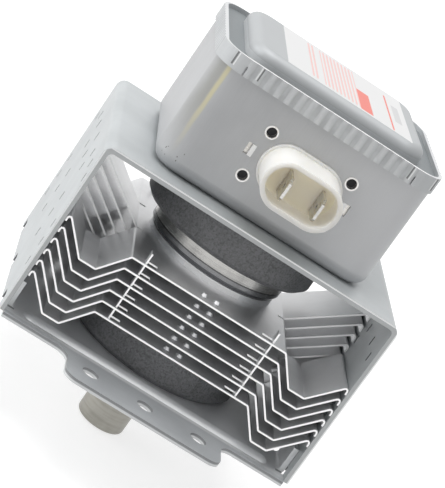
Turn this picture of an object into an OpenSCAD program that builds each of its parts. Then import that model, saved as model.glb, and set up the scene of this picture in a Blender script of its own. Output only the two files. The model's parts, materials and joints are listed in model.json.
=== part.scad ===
// Cavity magnetron of a microwave oven, with its yoke, cooling fins and filter box.
// Origin on the tube axis at the underside of the base plate, antenna along -Z.

/* [Yoke] */
// Outer width of the folded yoke
yoke_w = 92.5; // [88:0.5:104]
// Depth of the yoke from its front edge to its back edge
yoke_d = 74; // [70:0.5:86]
// Thickness of the yoke sheet
yoke_t = 1.5; // [1:0.1:2]
// Outer radius of the two bends of the yoke
yoke_bend_r = 2.8; // [2.2:0.1:5]
// Width of the narrow slots in the side walls
slot_w = 0.9; // [0.5:0.1:1.4]
// Length of the narrow slots in the side walls
slot_len = 2.8; // [1.6:0.1:3.6]
// Height of the lower edge of the side walls
wall_foot = 1.2; // [0.4:0.1:2]
// Width of the notches in the lower edge of the side walls
notch_w = 4.5; // [3:0.5:6]
// Height of the notches in the lower edge of the side walls
notch_h = 2.8; // [1.5:0.1:4]

/* [Base plate] */
// Thickness of the base plate
base_t = 1.5; // [1:0.1:2]
// How far the base plate runs past the front and back edges of the yoke
base_lip = 1.2; // [0.6:0.1:2.5]
// Height of the upturned side tabs, inside the walls
tab_h = 9.5; // [6:0.5:10.5]
// Outer bend radius of the side tabs
tab_bend_r = 2.5; // [2.2:0.1:4]
// Set-back of the outer side tabs from the edges of the yoke
tab_inset = 5; // [4:0.5:7]
// Length of the middle side tab
tab_mid_len = 17; // [12:0.5:22]
// Length of each outer side tab
tab_end_len = 12; // [8:0.5:16]
// Width of the two mounting tongues
tongue_w = 48.5; // [44:0.5:56]
// Length of the two mounting tongues
tongue_len = 14.5; // [13:0.5:20]
// Corner radius of the tongues
tongue_r = 4; // [2:0.5:5]
// Fillet at the root of the tongues
root_r = 4; // [2:0.5:4.5]
// Diameter of the mounting holes
hole_d = 5; // [3.5:0.1:6]
// Pitch of the three holes of a tongue
hole_pitch = 17; // [14:0.5:18]
// Distance of the hole line from the end of the tongue
hole_edge = 9; // [6:0.5:9.5]
// Width of the stiffening bead
bead_w = 5; // [3.5:0.5:6]
// Height of the stiffening bead
bead_h = 1.3; // [0.8:0.1:1.4]

/* [Magnets] */
// Outside diameter of the ring magnets
magnet_d = 54; // [52:0.5:57]
// Thickness of the lower ring magnet
lower_magnet_t = 11; // [9.5:0.5:14]
// Thickness of the upper ring magnet
upper_magnet_t = 12.2; // [9.5:0.1:14]
// Bore of the ring magnets
magnet_bore = 24; // [22.5:0.5:28]
// Chamfer on the edges of the magnets
magnet_chamfer = 1.4; // [0.5:0.1:2]

/* [Anode and cathode] */
// Outside diameter of the anode cylinder
anode_d = 39; // [38:0.5:40.5]
// Wall of the anode cylinder
anode_wall = 2.4; // [1.8:0.1:3]
// Outside diameter of the bright drum above the anode
drum_d = 42.6; // [41.5:0.2:46]
// Height of the bright drum above the anode
drum_h = 5.5; // [4:0.5:8]
// Sheet of the drum and of the seal cups
cup_t = 0.8; // [0.5:0.1:1]
// Outside diameter of the two seal chimneys
chimney_d = 19; // [18:0.2:20]
// Number of vanes in the anode
vane_count = 10; // [8:2:12]
// Thickness of a vane
vane_t = 1.8; // [1.2:0.1:2]
// Height of the vanes
vane_h = 9.5; // [8:0.5:10.5]
// Radius at the tips of the vanes
vane_tip_r = 4.5; // [4.2:0.1:5]
// Height of the strap rings
strap_h = 0.8; // [0.5:0.1:1]
// Radial width of the strap rings
strap_w = 0.9; // [0.5:0.1:1]
// Radius of the cathode coil at the middle of its wire
cathode_r = 1.9; // [1.7:0.1:2.2]
// Diameter of the cathode wire
cathode_wire = 0.5; // [0.4:0.05:0.6]
// Number of turns of the cathode coil
cathode_turns = 8; // [6:1:9]
// Diameter of the two cathode leads
lead_d = 1.4; // [1:0.1:1.6]
// Height of the stem insulator
stem_h = 6.8; // [6:0.1:9]

/* [Output] */
// Outside diameter of the antenna cap
antenna_d = 15; // [13:0.2:16]
// Reach of the antenna cap below the base plate
antenna_reach = 25.6; // [22:0.2:32]
// Height of the output insulator
insulator_h = 6; // [4:0.5:7]
// Length of the lower seal chimney below the base plate
chimney_out = 4; // [3:0.5:6]
// Edge radius at the end of the antenna cap
antenna_edge = 1.2; // [0.6:0.1:2]
// Width of the mesh gasket ring
gasket_w = 5; // [3:0.5:7]
// Height of the mesh gasket ring
gasket_h = 3.4; // [2.5:0.1:4]

/* [Cooling fins] */
// Number of cooling fins
fin_count = 6; // [4:1:6]
// Pitch of the cooling fins
fin_pitch = 3.65; // [3.4:0.05:4]
// Thickness of the fin sheet
fin_t = 0.5; // [0.4:0.05:0.7]
// Set-back of the fins from the front and back edges of the yoke
fin_inset = 0.2; // [0:0.1:1]
// Drop of the trough in the front and back wings
wing_drop = 8.1; // [6:0.1:8.6]
// Run of the inner slope of the front and back wings
slope_run = 6.3; // [5:0.1:7]
// Width of the trough in the front and back wings
trough_w = 5.1; // [3.5:0.1:6]
// Height of the wing's outer edge above the flat of the fin
wing_peak = 1.5; // [0.5:0.1:2.5]
// Length of the flange where a wing meets the wall
flange_h = 2.6; // [2:0.1:2.8]
// Rise of the middle wings towards the walls
wing_rise = 15; // [11:0.5:17]
// Width of the middle wings
mid_w = 21; // [17:0.5:23]
// Width of the slits between the wings
slit_w = 1; // [0.6:0.1:1.6]
// Bend radius of the fin sheet, at its middle
fin_bend_r = 0.6; // [0.45:0.05:0.7]
// Height of the collar that grips the anode
collar_h = 1.6; // [1:0.1:2]
// Height of the lowest fin above the lower end of the anode
fin_foot = 0.75; // [0.5:0.05:1.2]
// Height of the upper end of the anode above the top fin
fin_head = 3; // [2.4:0.1:4]
// Distance between the spacer tabs of a fin
spacer_gap = 40.4; // [36:0.2:42]

/* [Filter box] */
// Width of the drawn filter box
box_w = 68.2; // [65:0.2:74]
// Depth of the drawn filter box
box_d = 59; // [56:0.2:64]
// Height of the drawn filter box
box_h = 35.8; // [35:0.1:41]
// Set-back of the box from the tube axis
box_back = 1.5; // [0:0.1:3]
// Corner radius of the box
box_r = 7.5; // [6:0.5:10]
// Radius round the floor of the box
box_floor_r = 4; // [2.5:0.5:5]
// Sheet of the box
box_t = 0.8; // [0.6:0.1:1]
// Sheet of the cover
cover_t = 0.5; // [0.4:0.05:0.7]
// Height of the skirt of the cover below the top of the box
skirt_h = 3.2; // [2.5:0.1:5]
// Height of the standing lip round the cover
lip_h = 1.7; // [1.2:0.1:2.5]
// Width of the channel inside the lip, at the sides
side_channel = 5.9; // [4:0.1:7]
// Width of the channel inside the lip, at the front and back
end_channel = 4.1; // [3:0.1:6]
// Height of the raised panel above the channel
panel_h = 4.8; // [4:0.1:6]
// Rounding of the panel's upper edge
panel_edge_r = 3; // [1.5:0.1:3.5]
// Pitch of the flutes on the skirt
flute_pitch = 3.2; // [2.6:0.1:5]
// Radius of a flute
flute_r = 2; // [1:0.1:3]
// How far the flutes stand out of the skirt
flute_out = 0.3; // [0.2:0.05:0.4]
// Width of the slits at the corners of the skirt
corner_slit = 0.5; // [0.3:0.1:0.8]

/* [Connector] */
// Width of the connector
conn_w = 23; // [22:0.2:24]
// Height of the connector
conn_h = 13.9; // [13:0.1:14.5]
// Reach of the connector in front of the box
conn_out = 15.6; // [14:0.2:18]
// Wall of the connector
conn_wall = 1.3; // [1:0.1:1.5]
// Depth of the socket
socket_depth = 10.8; // [9:0.2:12.5]
// Sideways place of the connector
conn_x = 2; // [0:0.1:3]
// Height of the connector's centre above the floor of the box
conn_rise = 17.2; // [16:0.1:19]
// Distance between the two terminal blades
blade_gap = 10.2; // [9.4:0.1:11]
// Sideways place of the blades in the socket
blade_x = 1; // [0:0.1:1.2]
// Drop of the blades below the middle of the socket
blade_drop = 1; // [0:0.1:1.2]
// Height of a terminal blade
blade_h = 6.8; // [4.8:0.1:7]
// Thickness of a terminal blade
blade_t = 0.8; // [0.5:0.1:1]
// Sideways distance between the eyelets
eyelet_x = 25.4; // [25:0.1:27]
// Sideways place of the eyelets
eyelet_mid = 1.3; // [0.5:0.1:2]
// Upright distance between the eyelets
eyelet_z = 13.9; // [12:0.1:16]
// Bore of the eyelets
eyelet_bore = 2.9; // [2:0.1:3]
// Radius of the choke windings at the middle of the wire
choke_r = 4; // [3.4:0.1:4.6]
// Diameter of the choke wire
choke_wire = 1.2; // [0.9:0.1:1.4]
// Number of turns of a choke
choke_turns = 7; // [5:1:8]

/* [Hidden] */
$fn = 64;
// Running clearance between pieces that slide together
fit = 0.1;
// Clearance round pieces that pass through a hole
pass = 0.5;

zinc = [0.72, 0.73, 0.75];
bright_alu = [0.86, 0.87, 0.88];
ferrite = [0.33, 0.33, 0.35];
copper = [0.72, 0.45, 0.3];
nickel = [0.66, 0.64, 0.6];
ivory = [0.92, 0.9, 0.85];
alumina = [0.93, 0.9, 0.88];
tungsten = [0.4, 0.4, 0.42];

// Stack of the tube, from the base plate up
fin_stack = (fin_count - 1) * fin_pitch + fin_t;
z_magnet_low = base_t;
z_cup_low = z_magnet_low + lower_magnet_t;
z_anode = z_cup_low + cup_t;
anode_h = fin_stack + fin_foot + fin_head;
z_drum = z_anode + anode_h;
z_magnet_up = z_drum + drum_h;
z_roof = z_magnet_up + upper_magnet_t;
yoke_h = z_roof + yoke_t;
z_mid = z_anode + anode_h / 2;

anode_r = anode_d / 2;
anode_bore_r = anode_r - anode_wall;
chimney_r = chimney_d / 2;
chimney_in_r = chimney_r - cup_t;

// Places of the cathode
pole_t = 1.6;
hat_t = 1;
hat_r = vane_tip_r - 0.8;
cathode_room = vane_h + 2 * strap_h + 1;
z_hat_low = z_mid - cathode_room / 2 - hat_t;
z_hat_up = z_mid + cathode_room / 2;
lead_x = 5;
lead_in_x = 2.5;
knee = 1.25;

// Places of the stem, inside the filter box
z_chimney_top = yoke_h + box_t + 5;
z_stem_top = z_chimney_top + stem_h;
z_lead_top = z_stem_top + 3;

// Places of the fins
fin_d = yoke_d - 2 * fin_inset;
strip_y = mid_w / 2 + slit_w;
fold_x = sqrt(pow(magnet_d / 2, 2) - pow(strip_y, 2));
wall_x = yoke_w / 2 - yoke_t - fit - fin_t / 2;
leg_share = 0.9;
spacer_len = 3;
dimple_gap = 4;
dimple_r = 1.3;
dimple_h = 0.8;

// Places of the filter box and its connector
z_box = yoke_h;
z_rim = z_box + box_h;
face_y = box_back - box_d / 2;
conn_z = z_box + conn_rise;
lip_t = 2 * cover_t;
cover_w = box_w + 2 * (fit + cover_t);
cover_d = box_d + 2 * (fit + cover_t);
cover_r = box_r + fit + cover_t;
panel_w = cover_w - 2 * (lip_t + side_channel);
panel_d = cover_d - 2 * (lip_t + end_channel);
panel_r = 7;
plate_t = 1;
plate_side = 4;
plate_end = 3;
plate_r = 3;
eyelet_head = 0.35;
eyelet_brim = 0.45;
eyelet_wall = 0.3;
plate_y = face_y + box_t;
block_y = plate_y + plate_t;
block_len = 8;
blade_tip = 1.2;
blade_back = 2.5;
blade_mid = conn_x + blade_x;
blade_z = conn_z - blade_drop;
conn_flange = 0.7;
flange_y = 1.2;
choke_sides = 12;
choke_x = blade_gap / 2 + choke_r + 2.5;
choke_y = block_y + block_len + choke_wire;
choke_z = z_lead_top + choke_r + 2.7;

// Narrow slots of the side walls: distance from the middle, depth below the roof
slot_places = [
    [0, 8], [0, 14], [15, 8.5], [25, 8.5],
    [11.3, 14.3], [11.3, 24.4], [11.3, 30], [11.3, 36.8],
    [yoke_d / 2 - 5.5, 11], [yoke_d / 2 - 5.5, 26],
    [yoke_d / 2 - 5.5, 32], [yoke_d / 2 - 5.5, 38.5]
];

// Places of the notches along the lower edges of the side walls
notch_places = [-30.5, 0, 31];

// Vectors and folded sheets

function unit(v) = v / norm(v);
function reversed(list) = [for (i = [len(list) - 1:-1:0]) list[i]];
function mirrored_x(path) = [for (p = reversed(path)) [-p.x, p.y]];
function turn(a) = a > 180 ? a - 360 : a < -180 ? a + 360 : a;

// Arc that rounds the corner at b of the path a, b, c, and stays within its shorter leg
function corner_arc(a, b, c, r, steps) =
    let (
        u = unit(a - b),
        v = unit(c - b),
        half = acos(u * v) / 2,
        leg = min(norm(a - b), norm(c - b)),
        bend = min(r, leg_share * leg * tan(half)),
        centre = b + unit(u + v) * bend / sin(half),
        from = b + u * bend / tan(half) - centre,
        to = b + v * bend / tan(half) - centre,
        a0 = atan2(from.y, from.x),
        sweep = turn(atan2(to.y, to.x) - a0)
    )
    [for (k = [0:steps]) centre + bend * [cos(a0 + sweep * k / steps), sin(a0 + sweep * k / steps)]];

// Path with every inner corner rounded
function rounded_path(path, r, steps = 3) = concat(
    [path[0]],
    [for (i = [1:len(path) - 2]) each corner_arc(path[i - 1], path[i], path[i + 1], r, steps)],
    [path[len(path) - 1]]
);

// Path moved sideways by d, mitred at its corners
function offset_path(path, d) = [
    for (i = [0:len(path) - 1])
        let (
            before = unit(path[max(i, 1)] - path[max(i, 1) - 1]),
            last = min(i, len(path) - 2),
            after = unit(path[last + 1] - path[last]),
            m = unit(before + after)
        )
        path[i] + [-m.y, m.x] * d / (m * before)
];

// Section of a sheet of thickness t folded along a path
module folded_sheet(path, t) {
    polygon(concat(offset_path(path, t / 2), reversed(offset_path(path, -t / 2))));
}

// A section in x and z carried along y
module along_y(y0, y1) {
    translate([0, y1, 0])
        rotate([90, 0, 0])
            linear_extrude(height = y1 - y0)
                children();
}

module rounded_rect(w, d, r) {
    square([w - 2 * r, d], center = true);
    square([w, d - 2 * r], center = true);
    for (sx = [-1, 1], sy = [-1, 1])
        translate([sx * (w / 2 - r), sy * (d / 2 - r)])
            circle(r);
}

module stadium(w, h) {
    square([w - h, h], center = true);
    for (s = [-1, 1])
        translate([s * (w - h) / 2, 0])
            circle(d = h);
}

// Block with upright corners of radius r and a rounded edge of radius f round its floor
module drawn_block(w, d, h, r, f) {
    for (sx = [-1, 1], sy = [-1, 1])
        translate([sx * (w / 2 - r), sy * (d / 2 - r), 0])
            rotate_extrude() {
                translate([0, f]) square([r, h - f]);
                square([r - f, h]);
                translate([r - f, f]) intersection() {
                    circle(f);
                    translate([0, -f]) square([f, f]);
                }
            }
    rotate([90, 0, 0])
        linear_extrude(height = d - 2 * r, center = true)
            drawn_section(w, h, f);
    rotate([90, 0, 90])
        linear_extrude(height = w - 2 * r, center = true)
            drawn_section(d, h, f);
}

module drawn_section(w, h, f) {
    translate([-w / 2, f]) square([w, h - f]);
    translate([f - w / 2, 0]) square([w - 2 * f, h]);
    for (s = [-1, 1])
        translate([s * (w / 2 - f), f])
            circle(f);
}

// Wire of radius r along a path, with its rings set square to the axis of its winding
module wire(path, r, axis, sides = 6) {
    last = len(path) - 1;
    rings = [
        for (i = [0:last])
            let (
                t = unit(path[min(i + 1, last)] - path[max(i - 1, 0)]),
                a = unit(cross(t, axis)),
                b = cross(t, a)
            )
            for (k = [0:sides - 1])
                path[i] + r * (cos(360 * k / sides) * a + sin(360 * k / sides) * b)
    ];
    walls = [
        for (i = [0:last - 1], k = [0:sides - 1])
            let (j = (k + 1) % sides, low = i * sides, high = (i + 1) * sides)
            each [[low + k, high + k, high + j], [low + k, high + j, low + j]]
    ];
    ends = [
        for (k = [1:sides - 2])
            each [[0, k, k + 1], [last * sides, last * sides + k + 1, last * sides + k]]
    ];
    polyhedron(points = rings, faces = concat(walls, ends));
}

// Rod of diameter d through a list of points, with swollen knees
module bent_rod(points, d) {
    for (i = [0:len(points) - 2]) {
        run = points[i + 1] - points[i];
        translate(points[i])
            rotate([0, acos(run.z / norm(run)), atan2(run.y, run.x)])
                cylinder(d = d, h = norm(run));
    }
    for (i = [1:1:len(points) - 2])
        translate(points[i])
            rotate([0, 0, 90]) sphere(d = knee * d);
}

// Yoke and base plate

module yoke_section() {
    difference() {
        yoke_outline(yoke_w, yoke_h, yoke_bend_r);
        translate([0, -yoke_t])
            yoke_outline(yoke_w - 2 * yoke_t, yoke_h, yoke_bend_r - yoke_t);
        translate([-yoke_w, -yoke_h]) square([2 * yoke_w, yoke_h + wall_foot]);
    }
}

module yoke_outline(w, h, r) {
    translate([-w / 2, 0]) square([w, h - r]);
    translate([r - w / 2, 0]) square([w - 2 * r, h]);
    for (s = [-1, 1])
        translate([s * (w / 2 - r), h - r]) circle(r);
}

module yoke_frame() {
    color(zinc)
    difference() {
        along_y(-yoke_d / 2, yoke_d / 2) yoke_section();
        translate([0, 0, z_roof - 1])
            cylinder(r = chimney_r + pass, h = yoke_t + 2);
        for (p = slot_places, s = p.x == 0 ? [1] : [-1, 1])
            translate([0, s * p.x, z_roof - p.y])
                cube([yoke_w + 2, slot_w, slot_len], center = true);
        for (y = notch_places)
            translate([0, y, wall_foot])
                cube([yoke_w + 2, notch_w, 2 * notch_h], center = true);
    }
}

tab_x = yoke_w / 2 - yoke_t - fit;
base_edge = yoke_d / 2 + base_lip;
tongue_end = base_edge + tongue_len;
end_strip = base_lip + tab_inset - 1;

// Side tab: a strip of the plate turned up inside the wall
module tab_section() {
    r = tab_bend_r;
    difference() {
        union() {
            translate([tab_x - 2 * r, 0]) square([r, base_t]);
            translate([tab_x - base_t, r]) square([base_t, tab_h - r]);
            translate([tab_x - r, r]) intersection() {
                circle(r);
                translate([0, -r]) square([r, r]);
            }
        }
        translate([tab_x - r, r]) circle(r - base_t);
    }
}

module base_outline() {
    square([2 * (tab_x - tab_bend_r), 2 * base_edge], center = true);
    for (s = [-1, 1]) {
        translate([0, s * (base_edge - end_strip / 2)])
            square([2 * tab_x, end_strip], center = true);
        translate([0, s * (tongue_end - tongue_len / 2 - 1)])
            rounded_rect(tongue_w, tongue_len + 2, tongue_r);
        translate([0, s * (base_edge + root_r / 2 - 0.5)])
            square([tongue_w, root_r + 1], center = true);
    }
    for (sx = [-1, 1], sy = [-1, 1])
        translate([sx * (tongue_w / 2 + root_r / 2), sy * (base_edge + root_r / 2)])
            difference() {
                square(root_r, center = true);
                translate([sx * root_r / 2, sy * root_r / 2]) circle(root_r);
            }
}

// Round-ended ridge, as a slice off the top of a long capsule
module bead(w, h, half_len) {
    r = (w * w / 4 + h * h) / (2 * h);
    translate([0, 0, h - r]) {
        rotate([0, 90, 0]) cylinder(r = r, h = 2 * (half_len - w / 2), center = true);
        for (s = [-1, 1])
            translate([s * (half_len - w / 2), 0, 0]) sphere(r);
    }
}

bead_y = yoke_d / 2 - bead_w / 2 - 3;
bead_half = yoke_w / 2 - 7;

module base_plate() {
    color(zinc)
    difference() {
        union() {
            linear_extrude(height = base_t) base_outline();
            for (side = [0, 180])
                rotate([0, 0, side]) {
                    along_y(-tab_mid_len / 2, tab_mid_len / 2) tab_section();
                    for (s = [-1, 1])
                        translate([0, s * (yoke_d / 2 - tab_inset - tab_end_len / 2), 0])
                            along_y(-tab_end_len / 2, tab_end_len / 2) tab_section();
                }
            for (s = [-1, 1])
                translate([0, s * bead_y, base_t])
                    intersection() {
                        bead(bead_w, bead_h, bead_half);
                        translate([-yoke_w, -yoke_d, -base_t / 2])
                            cube([2 * yoke_w, 2 * yoke_d, bead_h + base_t]);
                    }
        }
        for (s = [-1, 1])
            translate([0, s * bead_y, 0])
                intersection() {
                    bead(bead_w - 1, bead_h, bead_half - 0.5);
                    translate([-yoke_w, -yoke_d, -1])
                        cube([2 * yoke_w, 2 * yoke_d, bead_h + 2]);
                }
        translate([0, 0, -1])
            cylinder(r = chimney_r + pass, h = base_t + 2);
        for (s = [-1, 1], i = [-1:1])
            translate([i * hole_pitch, s * (tongue_end - hole_edge), -1])
                cylinder(d = hole_d, h = base_t + 2);
    }
}

// Magnets

module ring_magnet(t) {
    r = magnet_d / 2;
    c = magnet_chamfer;
    b = magnet_bore / 2;
    color(ferrite)
    rotate_extrude()
        polygon([
            [b, 0], [r - c, 0], [r, c], [r, t - c], [r - c, t], [b, t]
        ]);
}

module upper_magnet() {
    translate([0, 0, z_magnet_up]) ring_magnet(upper_magnet_t);
}

module lower_magnet() {
    translate([0, 0, z_magnet_low]) ring_magnet(lower_magnet_t);
}

// Anode block

module anode_cylinder() {
    color(copper)
    translate([0, 0, z_anode])
        difference() {
            cylinder(r = anode_r, h = anode_h);
            translate([0, 0, -1]) cylinder(r = anode_bore_r, h = anode_h + 2);
        }
}

module anode_vane(i) {
    color(copper)
    rotate([0, 0, 360 * (i - 0.5) / vane_count])
        translate([vane_tip_r, -vane_t / 2, z_mid - vane_h / 2])
            cube([sqrt(pow(anode_bore_r, 2) - pow(vane_t / 2, 2)) - vane_tip_r, vane_t, vane_h]);
}

strap_in_r = vane_tip_r + 1.6;
strap_out_r = strap_in_r + strap_w + 0.8;

// Strap ring lying on the edges of the vanes
module strap(r, z) {
    color(copper)
    translate([0, 0, z])
        difference() {
            cylinder(r = r + strap_w, h = strap_h);
            translate([0, 0, -1]) cylinder(r = r, h = strap_h + 2);
        }
}

// Pole piece: a disc in the end of the anode, with a cone that points to the vanes
module pole_piece() {
    nose_r = vane_tip_r + 1.4;
    cone_r = nose_r + 4.5;
    cone_h = 1.8;
    color(nickel)
    rotate_extrude()
        polygon([
            [cone_r - pole_t, 0], [anode_bore_r - fit, 0], [anode_bore_r - fit, pole_t],
            [cone_r, pole_t], [nose_r + pole_t, pole_t + cone_h], [nose_r, pole_t + cone_h],
            [nose_r, cone_h]
        ]);
}

module upper_pole_piece() {
    translate([0, 0, z_drum]) mirror([0, 0, 1]) pole_piece();
}

module lower_pole_piece() {
    translate([0, 0, z_anode]) pole_piece();
}

// Drum over the anode's upper end, drawn out into the chimney that carries the stem
module upper_seal_drum() {
    r = drum_d / 2;
    top = drum_h;
    tall = z_chimney_top - z_drum;
    color(nickel)
    translate([0, 0, z_drum])
        rotate_extrude()
            polygon([
                [anode_bore_r - 2, 0], [r, 0], [r, top], [chimney_r, top], [chimney_r, tall],
                [chimney_in_r, tall], [chimney_in_r, top - cup_t], [r - cup_t, top - cup_t],
                [r - cup_t, cup_t], [anode_bore_r - 2, cup_t]
            ]);
}

// Cup under the anode's lower end, with the chimney that carries the output
module lower_seal_cup() {
    color(nickel)
    rotate_extrude()
        polygon([
            [chimney_in_r, -chimney_out], [chimney_r, -chimney_out], [chimney_r, z_cup_low],
            [anode_r, z_cup_low], [anode_r, z_anode], [chimney_in_r, z_anode]
        ]);
}

// Cathode

module cathode_filament() {
    low = z_hat_low + hat_t + cathode_wire / 2 + fit;
    high = z_hat_up - cathode_wire / 2 - fit;
    steps = 14 * cathode_turns;
    color(tungsten)
    wire([
        for (i = [0:steps])
            let (a = 360 * cathode_turns * i / steps)
            [cathode_r * cos(a), cathode_r * sin(a), low + (high - low) * i / steps]
    ], cathode_wire / 2, [0, 0, 1]);
}

module lower_end_hat() {
    color(tungsten)
    translate([0, 0, z_hat_low]) cylinder(r = hat_r, h = hat_t);
}

module upper_end_hat() {
    color(tungsten)
    translate([0, 0, z_hat_up])
        difference() {
            cylinder(r = hat_r, h = hat_t);
            translate([0, 0, -1]) cylinder(d = lead_d + 2 * fit, h = hat_t + 2);
        }
}

// Lead from the lower end hat, up through the coil and the upper hat
module centre_lead() {
    color(tungsten)
    bent_rod([
        [0, 0, z_hat_low + hat_t], [0, 0, z_drum + 1],
        [-lead_x, 0, z_magnet_up + 4], [-lead_x, 0, z_lead_top]
    ], lead_d);
}

// Lead from the top of the upper end hat
module side_lead() {
    color(tungsten)
    mirror([1, 0, 0])
        bent_rod([
            [-lead_in_x, 0, z_hat_up + hat_t], [-lead_in_x, 0, z_drum + 1],
            [-lead_x, 0, z_magnet_up + 4], [-lead_x, 0, z_lead_top]
        ], lead_d);
}

module stem_insulator() {
    color(alumina)
    difference() {
        translate([0, 0, z_chimney_top]) {
            cylinder(r = chimney_r, h = stem_h);
            translate([0, 0, fit - 2]) cylinder(r = chimney_in_r - fit, h = 2);
        }
        for (s = [-1, 1])
            translate([s * lead_x, 0, z_chimney_top - 3])
                cylinder(d = lead_d + 2 * fit, h = stem_h + 4);
    }
}

// Output

z_insulator = -chimney_out - insulator_h;
flange_t = 1;
antenna_lead_d = 1.2;
antenna_lead_end = 8;

module output_insulator() {
    color(alumina)
    difference() {
        translate([0, 0, z_insulator]) cylinder(r = chimney_r - 0.5, h = insulator_h);
        translate([0, 0, z_insulator - 1]) cylinder(r = chimney_r - 3, h = insulator_h + 2);
    }
}

// Lead from the edge of one vane, bent to the axis and down to the pinched tube
module antenna_lead() {
    a = 180 / vane_count;
    x = (vane_tip_r + 0.7) * cos(a);
    y = (vane_tip_r + 0.7) * sin(a);
    color(copper)
    bent_rod([
        [x, y, z_mid - vane_h / 2], [x, y, z_magnet_low + 4],
        [0, 0, -chimney_out], [0, 0, z_insulator - antenna_lead_end]
    ], antenna_lead_d);
}

// Copper tube on the output insulator, pinched shut at its end
module exhaust_tube() {
    tube_r = 2.6;
    long = 9;
    color(copper)
    translate([0, 0, z_insulator])
        difference() {
            union() {
                translate([0, 0, -flange_t]) cylinder(r = antenna_d / 2 - 1, h = flange_t);
                translate([0, 0, -long]) cylinder(r = tube_r, h = long);
                translate([0, 0, -long - 1.2]) cube([2 * tube_r, 1.2, 3], center = true);
            }
            translate([0, 0, -long + 0.8]) cylinder(r = 1, h = long + 2);
        }
}

module antenna_cap() {
    r = antenna_d / 2;
    wall = 0.8;
    e = antenna_edge;
    tall = antenna_reach + z_insulator;
    color(nickel)
    translate([0, 0, -antenna_reach])
        rotate_extrude()
            difference() {
                union() {
                    translate([0, e]) square([r, tall - e]);
                    square([r - e, e + 1]);
                    translate([r - e, e]) circle(e);
                }
                translate([0, wall]) square([r - wall, tall]);
                translate([-2 * r, 0]) square([2 * r, tall]);
            }
}

module mesh_gasket() {
    color(zinc)
    rotate_extrude()
        translate([chimney_r + pass + gasket_w / 2, -gasket_h / 2])
            stadium(gasket_w, gasket_h);
}

// Cooling fins

// Front and back wings: down into a trough, up to the wall and over into a flange
wing_path = [
    [fold_x, 0],
    [fold_x + slope_run, -wing_drop],
    [fold_x + slope_run + trough_w, -wing_drop],
    [wall_x, wing_peak],
    [wall_x, wing_peak - flange_h]
];

// Middle wings: straight up to the wall and over into a flange
mid_path = [
    [fold_x, 0],
    [wall_x, wing_rise],
    [wall_x, wing_rise - flange_h]
];

module fin_strip(path, y0, y1) {
    along_y(y0, y1)
        folded_sheet(rounded_path(concat(mirrored_x(path), path), fin_bend_r), fin_t);
}

module cooling_fin(i) {
    tall = fin_pitch - fin_t;
    edge = fin_d / 2;
    color(bright_alu)
    translate([0, 0, z_anode + fin_foot + fin_t / 2 + (fin_count - i) * fin_pitch])
        difference() {
            union() {
                for (s = [0, 180])
                    rotate([0, 0, s]) fin_strip(wing_path, -edge, -strip_y);
                fin_strip(mid_path, -mid_w / 2, mid_w / 2);
                cube([2 * fold_x - 4, 2 * strip_y + 1, fin_t], center = true);
                cylinder(r = anode_r + 2 * fin_t, h = fin_t / 2 + collar_h);
                for (sx = [-1, 1], sy = [-1, 1])
                    translate([sx * spacer_gap / 2, sy * (edge - 1 - spacer_len / 2), fin_t / 2 + tall / 2])
                        cube([fin_t, spacer_len, tall], center = true);
                for (sx = [-1, 1], sy = [-1, 1])
                    translate([sx * dimple_gap / 2, sy * (edge - 4.4), 0])
                        cylinder(r1 = dimple_r, r2 = dimple_r / 2, h = fin_t / 2 + dimple_h);
            }
            translate([0, 0, -fin_pitch]) cylinder(r = anode_r, h = 2 * fin_pitch);
            for (sx = [-1, 1], sy = [-1, 1])
                translate([
                    sx * (spacer_gap / 2 - fin_t / 2 - tall / 2),
                    sy * (edge - 1 - spacer_len / 2),
                    0
                ])
                    cube([tall, spacer_len, 2 * fin_t], center = true);
        }
}

// Filter box

module at_face() {
    translate([conn_x, face_y, conn_z])
        rotate([-90, 0, 0])
            children();
}

// At each of the four eyelets, on the front of the box
module at_eyelets() {
    for (sx = [-1, 1], sz = [-1, 1])
        translate([eyelet_mid + sx * eyelet_x / 2, face_y, conn_z + sz * eyelet_z / 2])
            rotate([-90, 0, 0])
                children();
}

lance_x = 15.6;
lance_w = 1.2;
lance_h = 3.4;

module filter_box() {
    color(zinc)
    difference() {
        union() {
            translate([0, box_back, z_box])
                difference() {
                    drawn_block(box_w, box_d, box_h, box_r, box_floor_r);
                    translate([0, 0, box_t])
                        drawn_block(
                            box_w - 2 * box_t, box_d - 2 * box_t, box_h,
                            box_r - box_t, box_floor_r - box_t
                        );
                }
            for (s = [-1, 1])
                translate([eyelet_mid + s * (lance_x - lance_w), face_y, conn_z])
                    cube([lance_w, box_t, lance_h], center = true);
        }
        translate([0, 0, z_box - 1]) cylinder(r = chimney_r + pass, h = box_t + 2);
        at_face()
            translate([0, 0, -1])
                linear_extrude(height = box_t + 2)
                    stadium(conn_w - 2 + 2 * fit, conn_h - 2 + 2 * fit);
        at_eyelets()
            translate([0, 0, -1]) cylinder(r = eyelet_bore / 2 + eyelet_wall + fit, h = box_t + 2);
        for (s = [-1, 1])
            translate([eyelet_mid + s * lance_x, face_y, conn_z])
                cube([lance_w, 4 * box_t, lance_h], center = true);
    }
}

// Shallow spring flutes along one side of the skirt
module flutes(side_len) {
    count = floor((side_len - 2 * cover_r) / flute_pitch);
    for (i = [0:count])
        translate([(i - count / 2) * flute_pitch, flute_out - flute_r]) circle(flute_r);
}

module skirt_outline() {
    rounded_rect(cover_w, cover_d, cover_r);
    for (side = [0, 180])
        rotate(side) {
            translate([0, cover_d / 2]) flutes(cover_w);
            rotate(90) translate([0, cover_w / 2]) flutes(cover_d);
        }
}

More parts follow.
